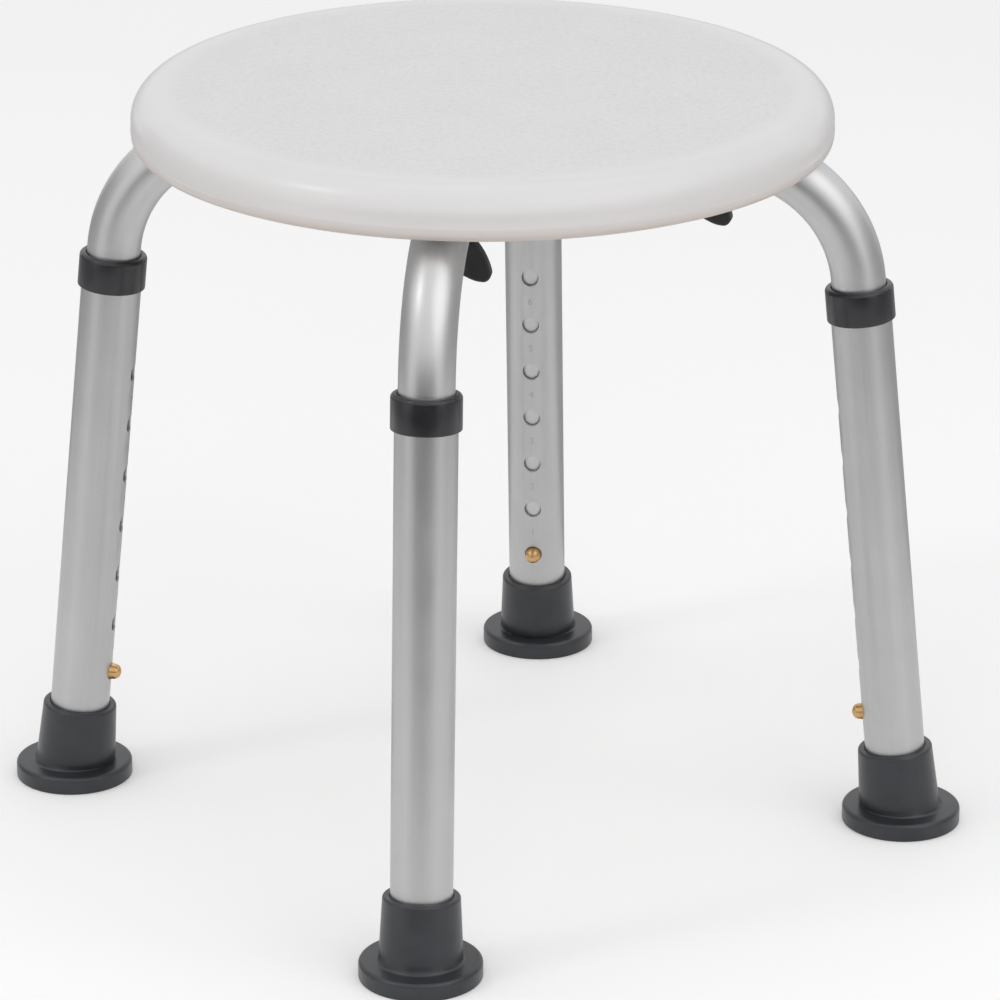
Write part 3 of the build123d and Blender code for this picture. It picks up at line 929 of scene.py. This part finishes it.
def drilled_tube_tree():
    """Nodes that repeat a hole's length of tube between its plain ends, and note each point's place."""
    tree, keys, given = new_tree("drilled_tube", {
        "Ends": "Geometry", "Length": "Object", "Holes": "Int", "Pitch": "Float",
        "First": "Float", "Weld": "Float", "Finish": "Material",
    })
    length = node(tree, "GeometryNodeObjectInfo", {"Object": given["Length"]}).outputs["Geometry"]
    first = node(tree, "ShaderNodeCombineXYZ", {"Z": given["First"]})
    step = node(tree, "ShaderNodeCombineXYZ", {"Z": given["Pitch"]})
    stops = node(tree, "GeometryNodeMeshLine", {
        "Count": given["Holes"], "Start Location": first, "Offset": step,
    })
    row = node(tree, "GeometryNodeInstanceOnPoints", {"Points": stops, "Instance": length})
    parts = node(tree, "GeometryNodeJoinGeometry", {"Geometry": [row, given["Ends"]]})
    whole = node(tree, "GeometryNodeRealizeInstances", {"Geometry": parts})
    welded = node(tree, "GeometryNodeMergeByDistance", {"Geometry": whole, "Distance": given["Weld"]})
    noted = node(tree, "GeometryNodeStoreNamedAttribute", {
        "Geometry": welded, "Name": "tube_place", "Value": node(tree, "GeometryNodeInputPosition"),
    }, data_type="FLOAT_VECTOR", domain="POINT")
    end_tree(tree, noted, given["Finish"])
    return tree, keys


def lower_tube_mesh():
    """The lower tube in its leg's own frame: a row of adjusting holes facing the middle of the stool."""
    drilled = add_object("drilled_length", drilled_length_mesh())
    mesh = taken_apart(through_tree(
        add_object("drilled_tube", plain_ends_mesh()), *drilled_tube_tree(), Length=drilled,
        Holes=HOLE_COUNT, Pitch=HOLE_PITCH, First=FIRST_HOLE, Weld=WELD, Finish=lower_aluminium,
    ))
    bpy.data.objects.remove(drilled)
    return smoothed(facing_outwards(mesh))


def make_lower_tube(side, pattern):
    """A lower tube, set on its leg."""
    mesh = pattern.copy()
    mesh.transform(leg_frame(side))
    tube = add_object(f"{side}_drilled_tube", mesh)
    dress(tube, lower_aluminium, f"{side}_leg", "aluminium", f"{side}_lower_tube")


def make_height_numbers(side):
    """Small numbers between the adjusting holes, curved with the tube and a hair proud of it, to show."""
    shapes = []
    for index in range(HOLE_COUNT - 1):
        text = bpy.data.curves.new("number", "FONT")
        text.body = str(index + 1)
        text.size = NUMBER_HEIGHT / FIGURE_SHARE
        text.align_x = "CENTER"
        text.align_y = "CENTER"
        text.extrude = NUMBER_DEPTH
        text.resolution_u = NUMBER_STEPS
        written = taken_apart(add_object("number", text))
        height = FIRST_HOLE + HOLE_PITCH * (index + 0.5)
        points = []
        for vertex in written.vertices:
            reach = LOWER_RADIUS + vertex.co.z - NUMBER_DEPTH / 2
            y = vertex.co.x
            points.append((sqrt(reach ** 2 - y ** 2), y, height + vertex.co.y))
        shapes.append((points, faces_of(written)))
    numbers = add_shape(f"{side}_height_numbers", joined(shapes), leg_frame(side))
    dress(numbers, engraving, f"{side}_leg", "aluminium")


def make_collar(side):
    """The ring pushed on the top of the lower tube, with a rolled lip that the upper tube slides through."""
    bottom = COLLAR_TOP - COLLAR_HEIGHT
    edge_middle = (COLLAR_RADIUS - COLLAR_EDGE, bottom + COLLAR_EDGE)
    outer_middle = (COLLAR_RADIUS - COLLAR_OUTER_ROUND, COLLAR_TOP - COLLAR_OUTER_ROUND)
    inner_middle = (COLLAR_MOUTH + COLLAR_INNER_ROUND, COLLAR_TOP - COLLAR_INNER_ROUND)
    profile = [(COLLAR_SLEEVE, bottom + COLLAR_EDGE), (COLLAR_SLEEVE + COLLAR_EDGE, bottom)]
    profile += arc(edge_middle, COLLAR_EDGE, -90, 0, steps=4)
    profile += arc(outer_middle, COLLAR_OUTER_ROUND, 0, 90, steps=10)
    profile += arc(inner_middle, COLLAR_INNER_ROUND, 90, 180, steps=6)
    profile += [(COLLAR_MOUTH, LOWER_TOP), (COLLAR_SLEEVE, LOWER_TOP)]
    collar = add_shape(f"{side}_rolled_collar", lathe(profile, FINE_SIDES, looped=True), leg_frame(side))
    dress(collar, collar_plastic, f"{side}_leg", "collar_plastic", f"{side}_collar")


def cone_radius(height):
    """Radius of a foot's cone at a height along the leg."""
    share = (height - CONE_BASE_HEIGHT) / (FOOT_HEIGHT - CONE_BASE_HEIGHT)
    return CONE_BASE + (CONE_TOP - CONE_BASE) * share


def foot_profile():
    """Radius, height and lean of each ring of a foot: 0 lies flat with the floor, 1 leans with the leg."""
    rings = [(0, 0, 0)]
    for tread in TREADS:
        rings += [
            (tread, 0, 0),
            (tread + TREAD_DRAFT, TREAD_DEPTH, 0),
            (tread + TREAD_WIDTH - TREAD_DRAFT, TREAD_DEPTH, 0),
            (tread + TREAD_WIDTH, 0, 0),
        ]
    round_middle = (FLANGE_RADIUS - FLANGE_ROUND, FLANGE_HEIGHT - FLANGE_ROUND)
    edge = arc((FLANGE_RADIUS - FLANGE_EDGE, FLANGE_EDGE), FLANGE_EDGE, -90, 0, steps=4)
    edge += arc(round_middle, FLANGE_ROUND, 0, 90, steps=8)
    rings += [(radius, height, 0) for radius, height in edge]
    clear = FLANGE_HEIGHT + CONE_CLEAR
    for step in range(FILLET_STEPS + 1):
        share = step / FILLET_STEPS
        height = FLANGE_HEIGHT + CONE_CLEAR * share * share
        rings.append((cone_radius(clear) + CONE_FILLET * (1 - share) ** 4, height, eased(share)))
    rings += [(cone_radius(clear + rise), clear + rise, 1) for rise in CONE_RINGS]
    lip = (cone_radius(FOOT_HEIGHT - LIP_ROUND) - LIP_ROUND, FOOT_HEIGHT - LIP_ROUND)
    rings += [(radius, height, 1) for radius, height in arc(lip, LIP_ROUND, 0, 90, steps=8)]
    rings += [
        (FOOT_BORE + FOOT_MOUTH, FOOT_HEIGHT, 1),
        (FOOT_BORE, FOOT_HEIGHT - FOOT_MOUTH, 1),
        (FOOT_BORE, FOOT_SOLE, 1),
        (0, FOOT_SOLE, 1),
    ]
    return rings


def make_foot(side):
    """A rubber foot: a flat flange with tread rings under it, and a cone that leans with the leg."""
    leaning = leg_frame(side)
    flat = Matrix.Translation(leaning.translation) @ side_turn(side) @ Matrix.Rotation(pi, 4, "Z")
    rings = []
    for radius, height, lean in foot_profile():
        points = ring(radius, height, FINE_SIDES)
        rings.append([(flat @ point).lerp(leaning @ point, lean) for point in points])
    foot = add_shape(f"{side}_rubber_foot", skin(rings))
    dress(foot, rubber, f"{side}_leg", "rubber", f"{side}_foot")


def make_button(side):
    """A brass snap button with a crowned end, riveted to its spring."""
    spring_back = BUTTON_FACE - SPRING_THICKNESS
    crown_radius = BUTTON_RADIUS - BUTTON_DRAFT - BUTTON_ROUND
    shoulder = BUTTON_TIP - BUTTON_CROWN - BUTTON_ROUND
    profile = [
        (0, spring_back - RIVET_HEAD),
        (RIVET_HEAD_RADIUS, spring_back - RIVET_HEAD),
        (RIVET_HEAD_RADIUS, spring_back),
        (RIVET_RADIUS, spring_back),
        (RIVET_RADIUS, BUTTON_FACE),
        (BUTTON_RADIUS, BUTTON_FACE),
        (BUTTON_RADIUS, LOWER_RADIUS),
    ]
    profile += arc((crown_radius, shoulder), BUTTON_ROUND, 0, BUTTON_ROUND_END, steps=12)
    profile += [(crown_radius, BUTTON_TIP - BUTTON_CROWN * CROWN_EDGE), (0, BUTTON_TIP)]
    place = leg_frame(side) @ button_turn
    button = add_shape(f"{side}_brass_button", lathe(profile, SMALL_SIDES), place)
    dress(button, brass, f"{side}_button", "button_brass", f"{side}_snap_button")


def make_plug(side):
    """The cap pushed into the inner end of a run."""
    cap = RUN_END - PLUG_CAP
    inside = RUN_END + PLUG_LENGTH
    profile = [(0, cap), (UPPER_RADIUS - PLUG_ROUND, cap)]
    profile += arc((UPPER_RADIUS - PLUG_ROUND, cap + PLUG_ROUND), PLUG_ROUND, -90, 0, steps=6)[1:]
    profile += [(UPPER_RADIUS, RUN_END), (PLUG_BODY, RUN_END), (PLUG_BODY, inside), (0, inside)]
    along_run = Matrix.Translation((0, 0, run_height)) @ Matrix.Rotation(pi / 2, 4, "Y")
    plug = add_shape(f"{side}_end_plug", lathe(profile, TUBE_SIDES), side_turn(side) @ along_run)
    dress(plug, plug_plastic, "seat_frame", "black_plastic", f"{side}_tube_plug")


def wing_outline():
    """Half of the butterfly, from the top of the axis round to the dip between the wings."""
    shoulder = (WING_TOP_HALF_SPAN, 0)
    side = (WING_HALF_SPAN, -WING_SIDE_DROP)
    corner = (WING_HALF_SPAN - WING_CORNER, -HEAD_HEIGHT + WING_CORNER)
    lobe = (WING_LOBE, -HEAD_HEIGHT)
    points = arc_through(shoulder, (WING_BOW, -WING_SIDE_DROP / 2), side, steps=10)
    points += arc_through(side, corner, lobe, steps=8)[1:]
    for step in range(1, DIP_STEPS + 1):
        share = step / DIP_STEPS
        rise = (HEAD_HEIGHT - WING_DIP_DROP) * eased(share)
        points.append((WING_LOBE * (1 - share), -HEAD_HEIGHT + rise))
    return points


def wing_head_mesh():
    """Two wings blended into a hub, as one moulding with its top at height 0."""
    half = wing_outline()
    outline = half + [(-across, up) for across, up in reversed(half[:-1])]
    curve = poly_curve("wings", [(across, up, 0) for across, up in outline], closed=True)
    curve.fill_mode = "BOTH"
    curve.extrude = WING_THICKNESS / 2 - WING_ROUND
    curve.bevel_depth = WING_ROUND
    curve.bevel_resolution = WING_ROUND_STEPS
    curve.offset = -WING_ROUND
    wings = taken_apart(add_object("wings", curve))
    upright = Matrix.Rotation(pi / 2, 4, "X")
    wing_shape = ([upright @ vertex.co for vertex in wings.vertices], faces_of(wings))
    hub = [(0, -HUB_HEIGHT)]
    hub += arc((HUB_RADIUS - HUB_ROUND, -HUB_HEIGHT + HUB_ROUND), HUB_ROUND, -90, 0, steps=4)
    hub += [(HUB_RADIUS, 0), (0, 0)]
    head = add_shape("wing_head", joined([wing_shape, lathe(hub, TUBE_SIDES)]))
    blend = head.modifiers.new("blend", "REMESH")
    blend.mode = "VOXEL"
    blend.voxel_size = HEAD_VOXEL
    soften = head.modifiers.new("soften", "SMOOTH")
    soften.iterations = HEAD_SMOOTHING
    return taken_apart(head)


def make_wing_head(side, place, mould):
    """A wing head, turned the way that it happened to be tightened."""
    turn = side_turn(side) @ Matrix.Rotation(radians(WING_TURN[f"{side}_{place}"]), 4, "Z")
    mesh = mould.copy()
    mesh.transform(Matrix.Translation(screw_place(side, place)) @ turn)
    mesh.polygons.foreach_set("use_smooth", [True] * len(mesh.polygons))
    head = add_object(f"{side}_{place}_butterfly_head", mesh)
    dress(head, knob_plastic, f"{side}_{place}_screw", "black_plastic", f"{side}_{place}_wing_head")


def rolled_thread_tree():
    """Nodes that make an upright stud between two heights and press a spiral thread into its side."""
    tree, keys, given = new_tree("rolled_thread", {
        "Radius": "Float", "Length": "Float", "Pitch": "Float", "Depth": "Float",
        "Sides": "Int", "Rows": "Int", "Start": "Vector", "Finish": "Material",
    })
    bar = node(tree, "GeometryNodeMeshCylinder", {
        "Vertices": given["Sides"], "Side Segments": given["Rows"],
        "Radius": given["Radius"], "Depth": given["Length"],
    })
    spot = node(tree, "GeometryNodeInputPosition")
    split = node(tree, "ShaderNodeSeparateXYZ", {"Vector": spot}).outputs
    around = node(tree, "ShaderNodeMath", {0: split["Y"], 1: split["X"]}, operation="ARCTAN2")
    turns = node(tree, "ShaderNodeMath", {0: around, 1: tau}, operation="DIVIDE")
    climb = node(tree, "ShaderNodeMath", {0: split["Z"], 1: given["Pitch"]}, operation="DIVIDE")
    phase = node(tree, "ShaderNodeMath", {0: climb, 1: turns}, operation="SUBTRACT")
    cycle = node(tree, "ShaderNodeMath", {0: phase, 1: 0.5}, operation="PINGPONG")
    groove = node(tree, "ShaderNodeMath", {0: cycle, 1: 2.0}, operation="MULTIPLY")
    depth = node(tree, "ShaderNodeMath", {0: groove, 1: given["Depth"]}, operation="MULTIPLY")
    inset = node(tree, "ShaderNodeMath", {0: depth, 1: -1.0}, operation="MULTIPLY")
    flat = node(tree, "ShaderNodeCombineXYZ", {"X": split["X"], "Y": split["Y"]})
    outwards = node(tree, "ShaderNodeVectorMath", {0: flat}, operation="NORMALIZE")
    pressed = node(tree, "ShaderNodeVectorMath", {0: outwards, "Scale": inset}, operation="SCALE")
    lifted = node(tree, "ShaderNodeVectorMath", {0: pressed, 1: given["Start"]})
    thread = node(tree, "GeometryNodeSetPosition", {"Geometry": bar, "Offset": lifted})
    end_tree(tree, thread, given["Finish"])
    return tree, keys


def make_stud(side, place, tree, keys):
    """A threaded stud, moulded into its wing head."""
    node_name = f"{side}_{place}_screw_stud"
    low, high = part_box(node_name)
    length = high.z - low.z
    name = f"{side}_{place}_threaded_stud"
    stud = settled(through_tree(
        add_object(name, bpy.data.meshes.new(name)), tree, keys, Radius=STUD_RADIUS, Length=length,
        Pitch=THREAD_PITCH, Depth=THREAD_DEPTH, Sides=STUD_SIDES,
        Rows=round(length / THREAD_PITCH) * THREAD_ROWS, Start=(low + high) / 2, Finish=zinc_steel,
    ))
    smoothed(stud.data)
    dress(stud, zinc_steel, f"{side}_{place}_screw", "zinc_steel", node_name)


def finish_kept_nodes():
    """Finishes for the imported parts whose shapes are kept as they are."""
    finishes = {"threaded_inserts": insert_brass}
    for side in SIDES:
        finishes[f"{side}_button_spring"] = spring_steel
        finishes[f"{side}_foot_washer"] = zinc_steel
        for place in PLACES:
            finishes[f"{side}_{place}_saddle_washer"] = plug_plastic
    for name, finish in finishes.items():
        for slot in frame["nodes"][name].material_slots:
            slot.material = finish


def seen_or_mirrored(tree):
    """1 where the camera, a mirror or glass looks, and 0 where light is only gathered."""
    ray = node(tree, "ShaderNodeLightPath").outputs
    seen = node(tree, "ShaderNodeMath", {
        0: ray["Is Camera Ray"], 1: ray["Is Glossy Ray"],
    }, operation="MAXIMUM")
    return node(tree, "ShaderNodeMath", {0: seen, 1: ray["Is Transmission Ray"]}, operation="MAXIMUM")


def white_studio():
    """An even white room: the world lights softly, and shows white where it is seen or mirrored."""
    world = bpy.data.worlds.new("white_studio")
    bpy.context.scene.world = world
    world.use_nodes = True
    tree = world.node_tree
    tree.nodes.clear()
    level = node(tree, "ShaderNodeMapRange", {
        "Value": seen_or_mirrored(tree), "To Min": ROOM_LIGHT, "To Max": 1.0,
    })
    glow = node(tree, "ShaderNodeBackground", {"Color": linear("#FFFFFF"), "Strength": level})
    node(tree, "ShaderNodeOutputWorld", {"Surface": glow})


def add_softbox(name, place, width, power, mirrored):
    """A square soft light that faces the stool."""
    light = bpy.data.lights.new(name, "AREA")
    light.shape = "SQUARE"
    light.size = width
    light.energy = power
    lamp = add_object(name, light)
    aim = Vector((0, 0, seat_bottom / 2)) - Vector(place)
    lamp.location = place
    lamp.visible_glossy = mirrored
    lamp.rotation_euler = aim.to_track_quat("-Z", "Y").to_euler()


def matt_paper(tree, place, fibre, pale, paler):
    """Matt paper or board with a faint unevenness. Fibre is the settings of its noise."""
    cloud = node(tree, "ShaderNodeTexNoise", {"Vector": place, **fibre})
    colour = node(tree, "ShaderNodeValToRGB", {"Fac": cloud}, ((0.0, pale), (1.0, paler)))
    return node(tree, "ShaderNodeBsdfPrincipled", {
        "Base Color": colour, "Roughness": 0.9, "Specular IOR Level": 0.1,
    })


def add_floor():
    """A pale plain floor that keeps the stool's shadow. From below it is clear, to show the underside."""
    made, tree = new_material("pale_floor")
    place = node(tree, "ShaderNodeTexCoord").outputs["Object"]
    matt = matt_paper(tree, place, {"Scale": per_metre(400), "Detail": 2.0}, "#F9F9F9", "#FCFCFC")
    reach = node(tree, "ShaderNodeVectorMath", {0: place}, operation="LENGTH")
    lift = node(tree, "ShaderNodeMapRange", {
        "Value": reach, "From Min": FLOOR_NEAR, "From Max": FLOOR_FAR,
        "To Min": FLOOR_LIFT, "To Max": FAR_FLOOR_LIFT,
    }, interpolation_type="SMOOTHSTEP")
    shown = node(tree, "ShaderNodeMath", {0: lift, 1: seen_or_mirrored(tree)}, operation="MULTIPLY")
    glow = node(tree, "ShaderNodeEmission", {"Color": linear("#FFFFFF"), "Strength": shown})
    lit = node(tree, "ShaderNodeAddShader", {0: matt, 1: glow})
    face = node(tree, "ShaderNodeNewGeometry").outputs["Backfacing"]
    clear = node(tree, "ShaderNodeBsdfTransparent")
    surface = node(tree, "ShaderNodeMixShader", {0: face, 1: lit, 2: clear})
    node(tree, "ShaderNodeOutputMaterial", {"Surface": surface})
    half, level = FLOOR_HALF, -FLOOR_GAP
    corners = [(-half, -half, level), (half, -half, level), (half, half, level), (-half, half, level)]
    floor = add_shape("floor", (corners, [[0, 1, 2, 3]]))
    floor.data.materials.append(made)


def add_card(name, colours, corners):
    """A card that lies on the floor and stands up at its far edge. Only mirrored rays meet it: it gives the
    tubes their dark bands and edges, and casts no shade."""
    made, tree = new_material(name)
    place = node(tree, "ShaderNodeTexCoord").outputs["Object"]
    surface = matt_paper(tree, place, {"Scale": per_metre(5), "Detail": 3.0}, *colours)
    node(tree, "ShaderNodeOutputMaterial", {"Surface": surface})
    card = add_shape(name, (corners, [[0, 1, 2, 3], [3, 2, 5, 4]]))
    card.data.materials.append(made)
    card.visible_camera = False
    card.visible_diffuse = False
    card.visible_shadow = False


def add_camera():
    """The camera, at the photograph's viewing angle."""
    camera = bpy.data.cameras.new("camera")
    camera.lens = CAMERA_LENS
    holder = add_object("camera", camera)
    holder.location = CAMERA_PLACE
    holder.rotation_euler = (radians(90 - CAMERA_TILT), 0, radians(CAMERA_HEADING))
    bpy.context.scene.camera = holder


make_seat()
bent_tube = bent_tube_tree()
rolled_thread = rolled_thread_tree()
head_mould = wing_head_mesh()
lower_tube_pattern = lower_tube_mesh()
for side in SIDES:
    make_upper_tube(side, *bent_tube)
    make_plug(side)
    make_lower_tube(side, lower_tube_pattern)
    make_height_numbers(side)
    make_collar(side)
    make_foot(side)
    make_button(side)
    for place in PLACES:
        make_wing_head(side, place, head_mould)
        make_stud(side, place, *rolled_thread)
bpy.data.meshes.remove(head_mould)
bpy.data.meshes.remove(lower_tube_pattern)
finish_kept_nodes()

add_floor()
for card in CARDS:
    add_card(*card)
white_studio()
for softbox in SOFTBOXES:
    add_softbox(*softbox)
add_camera()
bpy.context.scene.view_settings.view_transform = "Standard"
